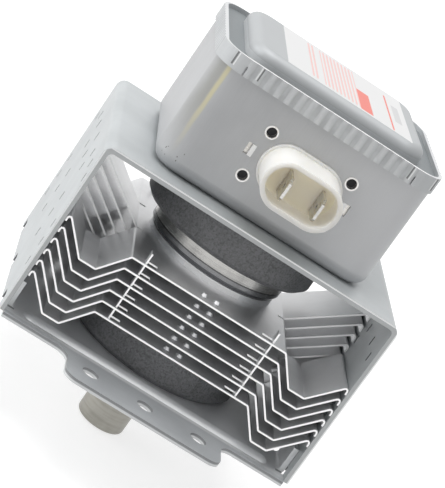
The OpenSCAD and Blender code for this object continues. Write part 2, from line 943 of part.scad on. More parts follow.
// Skirt round the box, folded back inside itself as a standing lip
module cover_skirt() {
    difference() {
        translate([0, 0, -skirt_h])
            linear_extrude(height = skirt_h + lip_h) skirt_outline();
        translate([0, 0, -skirt_h - 1])
            linear_extrude(height = skirt_h + 1)
                rounded_rect(cover_w - 2 * cover_t, cover_d - 2 * cover_t, cover_r - cover_t);
        translate([0, 0, -1])
            linear_extrude(height = lip_h + 2)
                rounded_rect(cover_w - 2 * lip_t, cover_d - 2 * lip_t, cover_r - lip_t);
        for (sx = [-1, 1], sy = [-1, 1])
            translate([sx * (cover_w / 2 - cover_r), sy * cover_d / 2, -skirt_h])
                cube([corner_slit, 6 * cover_t, 2 * skirt_h - 1], center = true);
    }
}

module filter_cover() {
    color(zinc)
    translate([0, box_back, z_rim]) {
        cover_skirt();
        difference() {
            union() {
                linear_extrude(height = cover_t)
                    rounded_rect(cover_w - lip_t, cover_d - lip_t, cover_r - lip_t / 2);
                translate([0, 0, cover_t + panel_h])
                    mirror([0, 0, 1])
                        drawn_block(panel_w, panel_d, panel_h + cover_t / 2, panel_r, panel_edge_r);
            }
            translate([0, 0, panel_h])
                mirror([0, 0, 1])
                    drawn_block(
                        panel_w - 2 * cover_t, panel_d - 2 * cover_t, panel_h + 1,
                        panel_r - cover_t, panel_edge_r - cover_t
                    );
        }
    }
}

// Connector

module connector_housing() {
    floor_y = socket_depth - conn_out;
    color(ivory)
    at_face()
        difference() {
            union() {
                translate([0, 0, -conn_out])
                    linear_extrude(height = conn_out) stadium(conn_w, conn_h);
                translate([0, 0, -flange_y])
                    linear_extrude(height = flange_y)
                        stadium(conn_w + 2 * conn_flange, conn_h + 2 * conn_flange);
                linear_extrude(height = box_t + plate_t) stadium(conn_w - 2, conn_h - 2);
                translate([0, 0, box_t + plate_t])
                    linear_extrude(height = block_len) stadium(conn_w - 1, conn_h - 1);
            }
            translate([0, 0, -conn_out - 1])
                linear_extrude(height = socket_depth + 1)
                    stadium(conn_w - 2 * conn_wall, conn_h - 2 * conn_wall);
            for (s = [-1, 1])
                translate([blade_x + s * blade_gap / 2, blade_drop, floor_y])
                    cube([blade_t + fit, blade_h + fit, 2 * (conn_out + block_len)], center = true);
        }
}

// Steel plate of the feed-through capacitor, behind the front wall of the box
module capacitor_plate() {
    color(nickel)
    difference() {
        translate([0, plate_y, conn_z])
            rotate([-90, 0, 0])
                linear_extrude(height = plate_t)
                    difference() {
                        translate([eyelet_mid, 0])
                            rounded_rect(eyelet_x + 2 * plate_side, eyelet_z + 2 * plate_end, plate_r);
                        translate([conn_x, 0]) stadium(conn_w - 2 + 2 * fit, conn_h - 2 + 2 * fit);
                    }
        at_eyelets() cylinder(r = eyelet_bore / 2 + eyelet_wall + fit, h = 2 * (box_t + plate_t));
    }
}

// Blade terminal with a chamfered tip and a latch hole
module terminal_blade(s) {
    tip = blade_tip - conn_out;
    back = box_t + plate_t + block_len + blade_back;
    c = blade_h / 6;
    h = blade_h / 2;
    color(nickel)
    translate([blade_mid + s * blade_gap / 2, face_y, blade_z])
        difference() {
            rotate([90, 0, 90])
                linear_extrude(height = blade_t, center = true)
                    polygon([
                        [tip, c - h], [tip + 1.5 * c, -h], [back, -h],
                        [back, h], [tip + 1.5 * c, h], [tip, h - c]
                    ]);
            translate([0, tip + 4.4, 0])
                rotate([0, 90, 0]) cylinder(d = 1.6, h = 2 * blade_t, center = true);
        }
}

// Tubular rivets of the capacitor plate, closed at their inner end
module plate_eyelets() {
    bore = eyelet_bore / 2;
    grip = box_t + plate_t;
    color(nickel)
    at_eyelets()
        rotate_extrude()
            difference() {
                union() {
                    translate([0, -eyelet_head]) square([bore + eyelet_brim, eyelet_head]);
                    translate([0, -eyelet_head]) square([bore + eyelet_wall, grip + 2 * eyelet_head]);
                    translate([0, grip]) square([bore + 2 * eyelet_brim, eyelet_head]);
                }
                translate([-1, -1]) square([bore + 1, grip + 1]);
            }
}

// Chokes between the blades and the stem leads

function choke_point(s, a, y) = [
    blade_mid + s * (choke_x - choke_r * cos(a)), y, choke_z + choke_r * sin(a)
];

// Winding from the side of a blade to the top of a stem lead
module choke_coil(s) {
    steps = choke_sides * choke_turns + 9;
    beside = blade_gap / 2 + blade_t / 2 + choke_wire / 2 + fit;
    lead_z = z_lead_top + choke_wire / 2 + fit;
    color(copper)
    wire(concat(
        [[blade_mid + s * beside, choke_y + fit, blade_z + 2]],
        [for (i = [0:steps]) choke_point(s, 360 * i / choke_sides, choke_y * (1 - i / steps))],
        [[s * (lead_x + 1.5), 0, lead_z], [s * lead_x, 0, lead_z]]
    ), choke_wire / 2, [0, 1, 0]);
}

module choke_core(s) {
    color(ferrite)
    translate([blade_mid + s * choke_x, choke_y, choke_z])
        rotate([-90, 0, 0])
            cylinder(r = choke_r - choke_wire / 2 - 3 * fit, h = 1 - choke_y);
}

yoke_frame();
base_plate();
upper_magnet();
lower_magnet();
anode_cylinder();
for (i = [1:vane_count])
    anode_vane(i);
strap(strap_in_r, z_mid + vane_h / 2);  // upper_inner_strap
strap(strap_out_r, z_mid + vane_h / 2);  // upper_outer_strap
strap(strap_in_r, z_mid - vane_h / 2 - strap_h);  // lower_inner_strap
strap(strap_out_r, z_mid - vane_h / 2 - strap_h);  // lower_outer_strap
upper_pole_piece();
lower_pole_piece();
upper_seal_drum();
lower_seal_cup();
cathode_filament();
upper_end_hat();
lower_end_hat();
centre_lead();
side_lead();
stem_insulator();
output_insulator();
antenna_lead();
exhaust_tube();
antenna_cap();
mesh_gasket();
for (i = [1:fin_count])
    cooling_fin(i);
filter_box();
filter_cover();
connector_housing();
capacitor_plate();
terminal_blade(-1);  // terminal_blade_left
terminal_blade(1);  // terminal_blade_right
plate_eyelets();
choke_coil(-1);  // choke_coil_left
choke_coil(1);  // choke_coil_right
choke_core(-1);  // choke_core_left
choke_core(1);  // choke_core_right
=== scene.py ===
import json
import math

import bpy
from mathutils import Matrix, Vector


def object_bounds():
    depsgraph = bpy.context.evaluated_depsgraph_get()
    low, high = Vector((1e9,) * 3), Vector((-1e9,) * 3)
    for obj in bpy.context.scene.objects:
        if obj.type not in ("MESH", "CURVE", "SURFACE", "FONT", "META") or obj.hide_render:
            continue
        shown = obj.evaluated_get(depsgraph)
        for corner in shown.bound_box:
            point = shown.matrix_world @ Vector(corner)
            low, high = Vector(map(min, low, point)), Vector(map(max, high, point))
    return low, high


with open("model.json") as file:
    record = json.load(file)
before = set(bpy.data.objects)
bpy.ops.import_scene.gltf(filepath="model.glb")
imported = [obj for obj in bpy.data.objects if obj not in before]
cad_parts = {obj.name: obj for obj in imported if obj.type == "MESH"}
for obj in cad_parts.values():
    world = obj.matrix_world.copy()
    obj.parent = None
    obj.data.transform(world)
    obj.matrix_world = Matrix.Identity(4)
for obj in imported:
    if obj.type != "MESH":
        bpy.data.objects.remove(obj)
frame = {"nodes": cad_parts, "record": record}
cadLow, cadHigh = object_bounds()
scene = bpy.context.scene
scene.view_settings.view_transform = "Standard"
print("frame loaded,", len(frame["nodes"]), "nodes")

# in the looks of the finishes, sizes and places are in millimetres in the part's frame
# the depth of a bump and how far light soaks in are in metres
toMillimetres = 1000.0


# shader maths: one class for a socket, one for a node sheet

class Socket:
    def __init__(self, sheet, socket):
        self.sheet = sheet
        self.socket = socket

    def maths(self, operation, *values):
        return self.sheet.add("ShaderNodeMath", {"operation": operation}, dict(enumerate(values)))

    def __add__(self, other):
        return self.maths("ADD", self, other)

    def __radd__(self, other):
        return self.maths("ADD", other, self)

    def __sub__(self, other):
        return self.maths("SUBTRACT", self, other)

    def __rsub__(self, other):
        return self.maths("SUBTRACT", other, self)

    def __mul__(self, other):
        return self.maths("MULTIPLY", self, other)

    def __rmul__(self, other):
        return self.maths("MULTIPLY", other, self)

    def __truediv__(self, other):
        return self.maths("DIVIDE", self, other)

    def __rtruediv__(self, other):
        return self.maths("DIVIDE", other, self)

    def __pow__(self, other):
        return self.maths("POWER", self, other)

    def __rpow__(self, other):
        return self.maths("POWER", other, self)

    def __gt__(self, other):
        return self.maths("GREATER_THAN", self, other)

    def __lt__(self, other):
        return self.maths("LESS_THAN", self, other)

    def __and__(self, other):  # both masks, or the smaller value
        return self.maths("MINIMUM", self, other)

    __rand__ = __and__

    def __or__(self, other):  # either mask, or the larger value
        return self.maths("MAXIMUM", self, other)

    __ror__ = __or__

    def __abs__(self):
        return self.maths("ABSOLUTE", self)

    def between(self, low, high):
        return (self > low) & (self < high)

    def output(self, name):
        return Socket(self.sheet, self.socket.node.outputs[name])


class Sheet:
    def __init__(self, tree):
        self.tree = tree
        tree.nodes.clear()

    def add(self, kind, settings=None, sockets=None, give=0):
        node = self.tree.nodes.new(kind)
        for key, value in (settings or {}).items():
            setattr(node, key, value)
        for key, value in (sockets or {}).items():
            if isinstance(value, Socket):
                self.tree.links.new(value.socket, node.inputs[key])
            else:
                node.inputs[key].default_value = value
        return Socket(self, node.outputs[give]) if len(node.outputs) else None

    def place(self):  # the point in the part's frame
        point = self.add("ShaderNodeTexCoord", give="Object")
        return self.add("ShaderNodeVectorMath", {"operation": "SCALE"}, {0: point, "Scale": toMillimetres})

    def facing(self):  # which way the surface looks, in the part's frame
        return self.axes(self.add("ShaderNodeTexCoord", give="Normal"))

    def axes(self, vector):
        split = self.add("ShaderNodeSeparateXYZ", None, {0: vector})
        return split, split.output("Y"), split.output("Z")

    def noise(self, point, size, detail=3.0, rough=0.55):  # one size, or one for each axis
        sizes = size if isinstance(size, tuple) else (size, size, size)
        scaled = self.add("ShaderNodeVectorMath", {"operation": "DIVIDE"}, {0: point, 1: sizes})
        return self.add("ShaderNodeTexNoise", None,
                        {"Vector": scaled, "Scale": 1.0, "Detail": detail, "Roughness": rough})

    def band(self, value, low, high):  # 0 below low, 1 above high
        return self.add("ShaderNodeMapRange", {"interpolation_type": "SMOOTHSTEP"},
                        {"Value": value, "From Min": low, "From Max": high})

    def blend(self, mask, first, second):
        sockets = {0: mask, 6: first, 7: second}
        return self.add("ShaderNodeMix", {"data_type": "RGBA"}, sockets, give=2)

    def bump(self, height, strength, depth=0.0002):
        return self.add("ShaderNodeBump", None,
                        {"Strength": strength, "Distance": depth, "Height": height})

    def seen(self):  # rays that show the background: straight, mirrored or through glass
        path = self.add("ShaderNodeLightPath", give="Is Camera Ray")
        return path | path.output("Is Glossy Ray") | path.output("Is Transmission Ray")

    def finish(self, sockets):
        shader = self.add("ShaderNodeBsdfPrincipled", None, sockets)
        self.add("ShaderNodeOutputMaterial", None, {"Surface": shader})


def newFinish(name):
    material = bpy.data.materials.new(name)
    material.use_nodes = True
    return material, Sheet(material.node_tree)


def tone(r, g, b):
    return (r, g, b, 1.0)


def grey(level):
    return tone(level, level, level)


# zinc-plated sheet steel: yoke, base plate, box and cover

zincLook = {"cloudShare": 0.75, "grainShare": 0.25, "shade": (0.34, 0.66),
            "speckSize": 0.55, "specks": (0.64, 0.74), "speck": grey(0.30), "speckCover": 0.16,
            "grainRough": 0.18, "cloudRough": 0.14, "relief": 0.6}


def zincParts(sheet, look):
    point = sheet.place()
    clouds = sheet.noise(point, look["clouds"], detail=4.0)
    grain = sheet.noise(point, look["grain"], detail=5.0, rough=0.6)
    specks = sheet.band(sheet.noise(point, zincLook["speckSize"], detail=2.0), *zincLook["specks"])
    mixed = clouds * zincLook["cloudShare"] + grain * zincLook["grainShare"]
    colour = sheet.blend(sheet.band(mixed, *zincLook["shade"]), look["dark"], look["light"])
    colour = sheet.blend(specks * zincLook["speckCover"], colour, zincLook["speck"])
    rough = look["rough"] + (grain - 0.5) * zincLook["grainRough"]
    rough = rough + (clouds - 0.5) * zincLook["cloudRough"]
    relief = (grain - specks) * zincLook["relief"]
    return point, colour, rough, relief


yokeLook = {"dark": tone(0.48, 0.505, 0.515), "light": tone(0.55, 0.575, 0.585),
            "grain": (0.3, 9.0, 9.0), "clouds": (24.0, 18.0, 18.0),
            "rough": 0.42, "metal": 0.3, "bump": 0.08,
            "wall": (44.78, 46.22), "slotReach": 36.5, "slotTop": 51.5,
            "slotShade": tone(0.09, 0.09, 0.095), "slotCover": 0.85,
            "rim": (36.37, 36.77), "rimFrom": 40.0, "rimShade": tone(0.26, 0.27, 0.275), "rimCover": 0.4,
            "edge": 36.97, "side": 46.25, "roof": 55.0, "highlightDepth": 0.4,
            "bright": tone(0.92, 0.93, 0.935), "cut": tone(0.50, 0.515, 0.52)}


def yokeFinish(name, look):  # painted shade inside the slots; sheared front and back edges grey with a painted highlight along their outer side; painted shade along the front rim
    material, sheet = newFinish(name)
    point, colour, rough, relief = zincParts(sheet, look)
    x, y, z = sheet.axes(point)
    # painted shade: the faces inside the slots are painted near black
    slotShade = abs(x).between(*look["wall"]) & (abs(y) < look["slotReach"]) & (z < look["slotTop"])
    colour = sheet.blend(slotShade * look["slotCover"], colour, look["slotShade"])
    rim = sheet.band(0.0 - y, *look["rim"]) & (z > look["rimFrom"])  # front only
    colour = sheet.blend(rim * look["rimCover"], colour, look["rimShade"])
    # painted highlight: a near-white line along the outer side of the sheared front and back edges
    depth = (look["side"] - abs(x)) & (look["roof"] - z)
    cut = sheet.blend(depth < look["highlightDepth"], look["cut"], look["bright"])
    colour = sheet.blend(abs(y) > look["edge"], colour, cut)
    sheet.finish({"Base Color": colour, "Metallic": look["metal"], "Roughness": rough,
                  "Normal": sheet.bump(relief, look["bump"])})
    return material


baseLook = {"dark": tone(0.51, 0.53, 0.548), "light": tone(0.59, 0.61, 0.628),
            "grain": (9.0, 0.3, 2.0), "clouds": (20.0, 15.0, 15.0),
            "rough": 0.46, "metal": 0.4, "bump": 0.08,
            "open": (35.0, 36.8), "paintedUnderYokeLight": tone(0.88, 0.89, 0.90), "paintedUnderYokeLightCover": 0.9,
            "thick": 1.6, "upright": 0.3, "highlightTop": (0.60, 0.90), "edgeCover": 0.8,
            "cut": tone(0.20, 0.202, 0.206), "bright": tone(0.72, 0.73, 0.735)}


# painted light: lighter where the yoke covers it, against the shade under it; sheared edges dark above,
# with a painted highlight below
def baseFinish(name, look):
    material, sheet = newFinish(name)
    point, colour, rough, relief = zincParts(sheet, look)
    _, y, z = sheet.axes(point)
    # painted light: the floor under the yoke is painted far lighter, against the shade there
    covered = 1.0 - sheet.band(abs(y), *look["open"])
    colour = sheet.blend(covered * look["paintedUnderYokeLightCover"], colour, look["paintedUnderYokeLight"])
    # painted highlight: the lower part of each sheared edge is painted light, the upper part dark
    side = (abs(sheet.facing()[2]) < look["upright"]) & (z < look["thick"])
    edge = sheet.blend(sheet.band(z, *look["highlightTop"]), look["bright"], look["cut"])
    colour = sheet.blend(side * look["edgeCover"], colour, edge)
    sheet.finish({"Base Color": colour, "Metallic": look["metal"], "Roughness": rough,
                  "Normal": sheet.bump(relief, look["bump"])})
    return material


boxLook = {"dark": tone(0.44, 0.447, 0.457), "light": tone(0.50, 0.507, 0.517),
           "grain": (0.35, 0.35, 11.0), "clouds": (20.0, 20.0, 34.0),
           "rough": 0.44, "metal": 0.3, "bump": 0.07,
           "paintedLightTone": tone(0.62, 0.627, 0.64), "paintedLightAcross": (-5.0, 40.0), "paintedLightCover": 0.8,
           "front": (-24.0, -20.0), "wander": 1.2, "wanderSize": (9.0, 9.0, 14.0),
           "reflectionAndStrawStreaks": (
               # the first stripe is a painted reflection, a dark band down the rounded front corner; the
               # second is a straw-coloured draw mark
               {"tone": tone(0.27, 0.267, 0.24), "at": -32.0, "wide": (0.2, 2.7), "rise": (56.0, 80.0),
                "cover": 0.65},
               {"tone": tone(0.66, 0.61, 0.38), "at": -30.4, "wide": (0.2, 0.9), "rise": (58.0, 80.0),
                "cover": 0.75}),
           "pit": tone(0.10, 0.09, 0.08), "pitSize": 1.1, "pits": (0.69, 0.73),
           "pitsAcross": (-36.0, -26.0), "pitsUp": (57.0, 63.0), "pitsFront": -20.0,
           "lanceHighlight": grey(0.88), "lanceFront": -28.1}


# a dark painted reflection and a straw-coloured draw mark run down one front corner, with a few pits low
# beside them
def boxFinish(name, look):
    material, sheet = newFinish(name)
    point, colour, rough, relief = zincParts(sheet, look)
    x, y, z = sheet.axes(point)
    # painted light: paler towards +x, where the light falls brighter on the box
    colour = sheet.blend(sheet.band(x, *look["paintedLightAcross"]) * look["paintedLightCover"], colour, look["paintedLightTone"])
    wander = (sheet.noise(point, look["wanderSize"]) - 0.5) * look["wander"]
    front = 1.0 - sheet.band(y, *look["front"])
    for stripe in look["reflectionAndStrawStreaks"]:
        near = 1.0 - sheet.band(abs(x + wander - stripe["at"]), *stripe["wide"])
        mask = (near & front) * sheet.band(z, *stripe["rise"])
        colour = sheet.blend(mask * stripe["cover"], colour, stripe["tone"])
    corner = x.between(*look["pitsAcross"]) & z.between(*look["pitsUp"]) & (y < look["pitsFront"])
    dots = sheet.band(sheet.noise(point, look["pitSize"], detail=1.0), *look["pits"])
    colour = sheet.blend(dots & corner, colour, look["pit"])
    # painted highlight: the punched tab standing out of the front is painted near white
    colour = sheet.blend(y < look["lanceFront"], colour, look["lanceHighlight"])
    sheet.finish({"Base Color": colour, "Metallic": look["metal"], "Roughness": rough,
                  "Normal": sheet.bump(relief, look["bump"])})
    return material


# sticker on the cover: white paper with plain colour fields
# a field runs from x to x, then from y to y

sticker = {"paper": grey(0.78), "fibre": grey(0.72), "fibreSize": 0.5, "fibreCover": 0.3,
           "outline": (-17.4, 22.6, -21.2, 26.0), "above": 95.95, "rough": 0.55, "raised": 2.0,
           "pitch": 1.25, "lineFields": ((-5.4, 6.0, -19.0, 21.0), (-10.0, -7.4, -18.0, 21.0)),
           "pink": tone(0.84, 0.46, 0.43), "pinkCover": 0.7,
           "redFields": ((6.0, 10.0, -20.0, 2.0), (16.3, 16.9, -20.4, 17.0)),
           "red": tone(0.80, 0.17, 0.13), "redCover": 0.9,
           "greyField": (18.3, 20.6, -8.0, 10.0), "grey": tone(0.55, 0.55, 0.56), "greyCover": 0.6}


def stickerParts(sheet, point):
    x, y, z = sheet.axes(point)

    def field(left, right, low, high):
        return x.between(left, right) & y.between(low, high)

    def fields(first, second):
        return field(*first) | field(*second)

    fibre = sheet.noise(point, sticker["fibreSize"], detail=4.0)
    paper = sheet.blend(fibre * sticker["fibreCover"], sticker["paper"], sticker["fibre"])
    rows = x / sticker["pitch"]
    lines = (rows.maths("FRACT", rows) > 0.5) & fields(*sticker["lineFields"])
    paper = sheet.blend(lines * sticker["pinkCover"], paper, sticker["pink"])
    paper = sheet.blend(fields(*sticker["redFields"]) * sticker["redCover"], paper, sticker["red"])
    paper = sheet.blend(field(*sticker["greyField"]) * sticker["greyCover"], paper, sticker["grey"])
    return field(*sticker["outline"]) & (z > sticker["above"]), paper


coverLook = {"dark": tone(0.53, 0.545, 0.555), "light": tone(0.60, 0.615, 0.625),
             "grain": (7.0, 0.3, 7.0), "clouds": (16.0, 16.0, 16.0),
             "rough": 0.54, "metal": 0.3, "bump": 0.08,
             "half": (34.7, 30.1), "setBack": 1.5,
             "fluted": (26.5, 22.0), "skirtFrom": -0.2, "skirtTop": 92.4,
             "sheenAndShadePatchSize": 5.0, "sheenAndShadePatches": (0.35, 0.65),
             "valleyShade": tone(0.26, 0.265, 0.27), "valleys": (0.0, 0.24),
             "valleyCover": 0.06, "valleyShadePatches": 0.25,
             "crests": (0.2, 0.28), "crestCover": 0.45,
             "crimp": 1.3, "creaseRise": (88.6, 92.35), "creaseOutward": 1.0, "creaseFrom": -2.6,
             "paintedLines": ((31.8, 0.24), (23.75, 0.2)), "paintedGrooveShade": grey(0.06), "grooveCover": 0.75,
             "shines": ((31.25, 0.16), (24.25, 0.16)), "shineCover": 0.65,
             "lip": (92.4, 92.6), "lipUp": 0.9, "lipFront": 28.9,
             "cut": grey(0.95), "softHighlight": tone(0.70, 0.71, 0.72),
             "channelRise": (91.0, 92.2), "channelUp": 0.5,
             "channel": tone(0.17, 0.19, 0.20), "channelCover": 0.85,
             "panelFrom": 93.0, "panel": tone(0.42, 0.435, 0.445), "panelCover": 0.75}


def coverFinish(name, look):  # fluted skirt with painted shade in the valleys and a painted highlight on some crests; dark painted shade lines and painted highlights at the corners; painted highlight on the lip; painted shade between lip and panel; darker raised panel
    material, sheet = newFinish(name)
    point, colour, rough, relief = zincParts(sheet, look)
    x, y, z = sheet.axes(point)
    facingX, facingY, facingUp = sheet.facing()
    outward = facingX * x + facingY * (y - look["setBack"])
    along = abs(y - look["setBack"])
    out = (abs(x) - look["half"][0]) | (along - look["half"][1])  # past the plain skirt
    fluted = (abs(x) < look["fluted"][0]) | (along < look["fluted"][1])
    skirt = fluted & (out > look["skirtFrom"]) & (z < look["skirtTop"])
    sheenAndShadePatches = sheet.band(sheet.noise(point, look["sheenAndShadePatchSize"], detail=2.0), *look["sheenAndShadePatches"])
    # painted shade: the flute valleys are painted darker, more in some patches
    valleyShade = (1.0 - sheet.band(out, *look["valleys"])) & skirt
    colour = sheet.blend(valleyShade * (look["valleyCover"] + sheenAndShadePatches * look["valleyShadePatches"]), colour, look["valleyShade"])
    # painted highlight: some flute crests are painted lighter
    crest = sheet.band(out, *look["crests"]) & skirt
    colour = sheet.blend(crest * sheenAndShadePatches * look["crestCover"], colour, look["softHighlight"])

    # painted shade and painted highlight: dark lines at the corner slits, each with a light line beside it
    aside = abs(x - look["crimp"])
    corner = (along > look["fluted"][1]) & (outward > look["creaseOutward"]) & (out > look["creaseFrom"])
    corner = corner & z.between(*look["creaseRise"])

    def paintedLines(first, second):  # each has its place and half its width
        return (abs(aside - first[0]) < first[1]) | (abs(aside - second[0]) < second[1])

    colour = sheet.blend((paintedLines(*look["shines"]) & corner) * look["shineCover"], colour, look["cut"])
    colour = sheet.blend((paintedLines(*look["paintedLines"]) & corner) * look["grooveCover"], colour, look["paintedGrooveShade"])

    # painted highlight: the lip top is painted white at the front and back and light grey on the sides
    lip = z.between(*look["lip"]) & (facingUp > look["lipUp"])
    colour = sheet.blend(lip, colour, sheet.blend(along > look["lipFront"], look["softHighlight"], look["cut"]))
    # painted shade: the floor between lip and panel is painted dark
    channel = (facingUp > look["channelUp"]) & z.between(*look["channelRise"])
    colour = sheet.blend(channel * look["channelCover"], colour, look["channel"])
    # the raised panel top is painted darker than the rest of the cover
    colour = sheet.blend((z > look["panelFrom"]) * look["panelCover"], colour, look["panel"])

    onPaper, paper = stickerParts(sheet, point)
    bare = 1.0 - onPaper
    colour = sheet.blend(onPaper, colour, paper)
    rough = rough * bare + onPaper * sticker["rough"]
    relief = relief * bare + onPaper * sticker["raised"]
    sheet.finish({"Base Color": colour, "Metallic": bare * look["metal"], "Roughness": rough,
                  "Normal": sheet.bump(relief, look["bump"])})
    return material


# ferrite of the ring magnets and choke cores

ferriteLook = {"dark": tone(0.15, 0.152, 0.157), "light": tone(0.235, 0.238, 0.245),
               "clouds": 7.0, "grit": 0.6, "cloudShare": 0.3, "gritShare": 0.7, "shade": (0.36, 0.62),
               "pit": tone(0.08, 0.08, 0.084), "pitSize": 0.75, "pits": (0.55, 0.66), "pitCover": 0.5,
               "rough": 0.50, "gritRough": 0.35, "bump": 0.35, "depth": 0.0003}


def ferriteFinish(name, look):
    material, sheet = newFinish(name)
    point = sheet.place()
    clouds = sheet.noise(point, look["clouds"], detail=4.0)
    grit = sheet.noise(point, look["grit"], detail=3.0, rough=0.6)
    pits = sheet.band(sheet.noise(point, look["pitSize"], detail=1.0), *look["pits"])
    shade = sheet.band(clouds * look["cloudShare"] + grit * look["gritShare"], *look["shade"])
    colour = sheet.blend(shade, look["dark"], look["light"])
    colour = sheet.blend(pits * look["pitCover"], colour, look["pit"])
    sheet.finish({"Base Color": colour, "Roughness": look["rough"] + (grit - 0.5) * look["gritRough"],
                  "Normal": sheet.bump(grit - pits, look["bump"], look["depth"])})
    return material


# bright rolled aluminium of the fins, white along the sheared edges

finLook = {"dark": tone(0.82, 0.825, 0.835), "light": tone(0.89, 0.895, 0.905),
           "roll": (22.0, 9.0, 22.0), "clouds": 11.0, "rollShare": 0.25, "cloudShare": 0.75,
           "shade": (0.35, 0.65), "rough": 0.33, "rollRough": 0.06, "cloudRough": 0.10, "metal": 0.75,
           "cut": grey(0.96), "cutAhead": 0.9, "cutRough": 0.2}


def finFinish(name, look):
    material, sheet = newFinish(name)
    point = sheet.place()
    cut = abs(sheet.facing()[1]) > look["cutAhead"]
    roll = sheet.noise(point, look["roll"], detail=2.0)
    clouds = sheet.noise(point, look["clouds"])
    shade = sheet.band(roll * look["rollShare"] + clouds * look["cloudShare"], *look["shade"])
    colour = sheet.blend(shade, look["dark"], look["light"])
    colour = sheet.blend(cut, colour, look["cut"])
    rough = look["rough"] + (roll - 0.5) * look["rollRough"] + (clouds - 0.5) * look["cloudRough"]
    sheet.finish({"Base Color": colour, "Metallic": look["metal"],
                  "Roughness": rough + cut * look["cutRough"]})
    return material


# turned and drawn metals of the tube, and the dull plating of the anode
# turned is the size of the marks along the axis

turnedLook = {"round": 18.0, "stains": 6.0, "turnedShare": 0.55, "stainShare": 0.45, "shade": (0.34, 0.66),
              "vary": 0.2, "bump": 0.12}

tubeLooks = {
    "nickel": {"dark": tone(0.50, 0.485, 0.45), "light": tone(0.70, 0.685, 0.65),
               "rough": 0.30, "turned": 0.25, "metal": 1.0},
    "copper": {"dark": tone(0.42, 0.22, 0.13), "light": tone(0.74, 0.45, 0.31),
               "rough": 0.34, "turned": 0.5, "metal": 1.0},
    "tungsten": {"dark": tone(0.22, 0.22, 0.23), "light": tone(0.38, 0.38, 0.39),
                 "rough": 0.38, "turned": 0.3, "metal": 1.0},
    "cap_steel": {"dark": tone(0.29, 0.28, 0.25), "light": tone(0.38, 0.37, 0.335),
                  "rough": 0.34, "turned": 1.2, "metal": 1.0},
    "tin_plate": {"dark": tone(0.48, 0.475, 0.455), "light": tone(0.66, 0.655, 0.635),
                  "rough": 0.28, "turned": 0.6, "metal": 1.0},
    "drum": {"dark": tone(0.40, 0.395, 0.38), "light": tone(0.58, 0.572, 0.555),
             "rough": 0.26, "turned": 0.25, "metal": 0.9,
             "step": 37.1, "dull": tone(0.30, 0.303, 0.31), "paintedGrooveShade": grey(0.12), "grooveHalf": 0.2},
    "dull_plate": {"dark": tone(0.17, 0.175, 0.185), "light": tone(0.22, 0.225, 0.235),
                   "rough": 0.5, "turned": 0.6, "metal": 0.5},
}


def tubeFinish(name, look):  # the drum is lighter above its step and darker below, with a painted shade line at the step
    material, sheet = newFinish(name)
    point = sheet.place()
    sizes = (turnedLook["round"], turnedLook["round"], look["turned"])
    turned = sheet.noise(point, sizes, detail=4.0, rough=0.6)
    stains = sheet.noise(point, turnedLook["stains"], detail=4.0)
    mixed = turned * turnedLook["turnedShare"] + stains * turnedLook["stainShare"]
    colour = sheet.blend(sheet.band(mixed, *turnedLook["shade"]), look["dark"], look["light"])
    if "step" in look:
        z = sheet.axes(point)[2]
        colour = sheet.blend(z < look["step"], colour, look["dull"])
        # painted shade: a dark line at the step stands for the recess there
        colour = sheet.blend(abs(z - look["step"]) < look["grooveHalf"], colour, look["paintedGrooveShade"])
    rough = look["rough"] + (turned - 0.5) * turnedLook["vary"] + (stains - 0.5) * turnedLook["vary"]
    sheet.finish({"Base Color": colour, "Metallic": look["metal"], "Roughness": rough,
                  "Normal": sheet.bump(turned, turnedLook["bump"])})
    return material


eyeletLook = {"rim": tone(0.80, 0.79, 0.77), "dent": tone(0.66, 0.65, 0.63),
              "dents": 0.7, "shade": (0.35, 0.65),
              "middle": (1.3, 72.2), "half": (12.7, 6.95), "bore": (1.39, 1.47),
              "inside": tone(0.045, 0.045, 0.05), "metal": 0.9, "insideMetal": -0.8,
              "rough": 0.35, "insideRough": 0.3, "bump": 0.10}


def eyeletFinish(name, look):  # painted shade: dark down the bore, standing for the shade in an open hole; light rim around it
    material, sheet = newFinish(name)
    point = sheet.place()
    x, _, z = sheet.axes(point)
    aside = abs(abs(x - look["middle"][0]) - look["half"][0])
    above = abs(abs(z - look["middle"][1]) - look["half"][1])
    # painted shade: the bore is painted near black
    inside = 1.0 - sheet.band((aside ** 2.0 + above ** 2.0) ** 0.5, *look["bore"])
    dents = sheet.noise(point, look["dents"])
    colour = sheet.blend(sheet.band(dents, *look["shade"]), look["dent"], look["rim"])
    colour = sheet.blend(inside, colour, look["inside"])
    sheet.finish({"Base Color": colour, "Metallic": look["metal"] + inside * look["insideMetal"],
                  "Roughness": look["rough"] + inside * look["insideRough"],
                  "Normal": sheet.bump(dents, look["bump"])})
    return material


gasketLook = {"dark": tone(0.16, 0.155, 0.14), "light": tone(0.60, 0.59, 0.55), "shade": (0.35, 0.85),
              "radius": 13.0, "stitch": 0.75, "stitchShare": 0.8, "fuzz": 0.7, "fuzzShare": 0.2,
              "metal": 0.9, "rough": 0.55, "weaveRough": -0.2, "bump": 0.8, "depth": 0.0004}


def gasketFinish(name, look):  # knitted wire: two slanted sets of stitches round the ring
    material, sheet = newFinish(name)
    point = sheet.place()
    x, y, z = sheet.axes(point)
    turn = x.maths("ARCTAN2", y, x) * look["radius"]

    def stitches(height):
        angle = height * (math.tau / look["stitch"])
        return angle.maths("SINE", angle) * 0.5 + 0.5

    fuzz = sheet.noise(point, look["fuzz"])
    weave = (stitches(turn + z) | stitches(turn - z)) * look["stitchShare"] + fuzz * look["fuzzShare"]
    colour = sheet.blend(sheet.band(weave, *look["shade"]), look["dark"], look["light"])
    sheet.finish({"Base Color": colour, "Metallic": look["metal"],
                  "Roughness": look["rough"] + weave * look["weaveRough"],
                  "Normal": sheet.bump(weave, look["bump"], look["depth"])})
    return material


# ceramics and the ivory moulding

